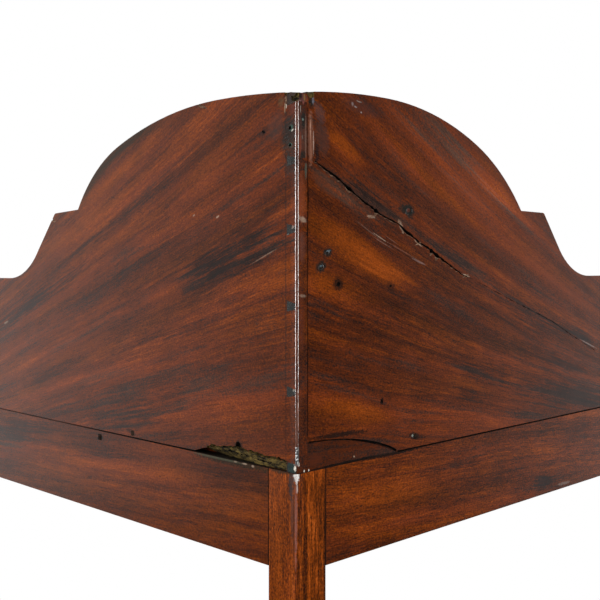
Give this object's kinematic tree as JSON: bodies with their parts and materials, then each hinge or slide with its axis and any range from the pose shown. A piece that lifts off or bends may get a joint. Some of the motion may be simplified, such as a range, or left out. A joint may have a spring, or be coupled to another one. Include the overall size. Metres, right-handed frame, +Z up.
{
  "type": "corner washstand",
  "caption": "Bow-front corner washstand with dovetailed shaped splash boards, a top pierced for a basin and cups, a drawer under its middle shelf, a low shelf and splayed feet.",
  "frame": {"origin": "on the floor, under the middle of the overall outline, knobs included", "axes": "+Z up, -Y towards the bowed front, +Y towards the back corner of the room, +X to the right as seen from the front"},
  "size_m": [0.6874, 0.4894, 1.0792],
  "materials": {
    "mahogany": "polished",
    "mahogany_board": "polished",
    "oak": "waxed",
    "pine": "raw",
    "brass": "aged polish",
    "iron": "dull"
  },
  "bodies": {
    "stand": {"back_leg": "mahogany", "front_leg_left": "mahogany", "front_leg_right": "mahogany", "upper_rail_left": "mahogany", "upper_rail_right": "mahogany", "upper_frieze": "mahogany", "top_glue_blocks": "pine", "top_board": "mahogany_board", "splash_board_left": "mahogany_board", "splash_board_right": "mahogany_board", "splash_wedge_left": "mahogany_board", "wall_nails": "iron", "middle_shelf": "mahogany_board", "case_floor": "mahogany_board", "case_rail_left": "mahogany", "case_rail_right": "mahogany", "low_shelf": "mahogany_board", "case_divider_left": "mahogany", "case_divider_right": "mahogany", "sham_front_left": "mahogany_board", "sham_front_right": "mahogany_board", "sham_beads_left": "mahogany", "sham_beads_right": "mahogany", "sham_knob_left": "brass", "sham_knob_right": "brass", "sham_knob_nut_left": "brass", "sham_knob_nut_right": "brass", "case_glue_blocks": "pine", "drawer_stops": "pine"},
    "drawer": {"drawer_front": "mahogany_board", "drawer_side_left": "oak", "drawer_side_right": "oak", "drawer_back": "oak", "drawer_bottom": "oak", "drawer_beads": "mahogany", "drawer_bottom_nails": "iron", "drawer_knob": "brass", "drawer_knob_nut": "brass"}
  },
  "joints": [
    {"name": "drawer_slide", "type": "slide", "parent": "stand", "child": "drawer", "axis": [0, -1, 0], "range_m": [0, 0.2]}
  ]
}
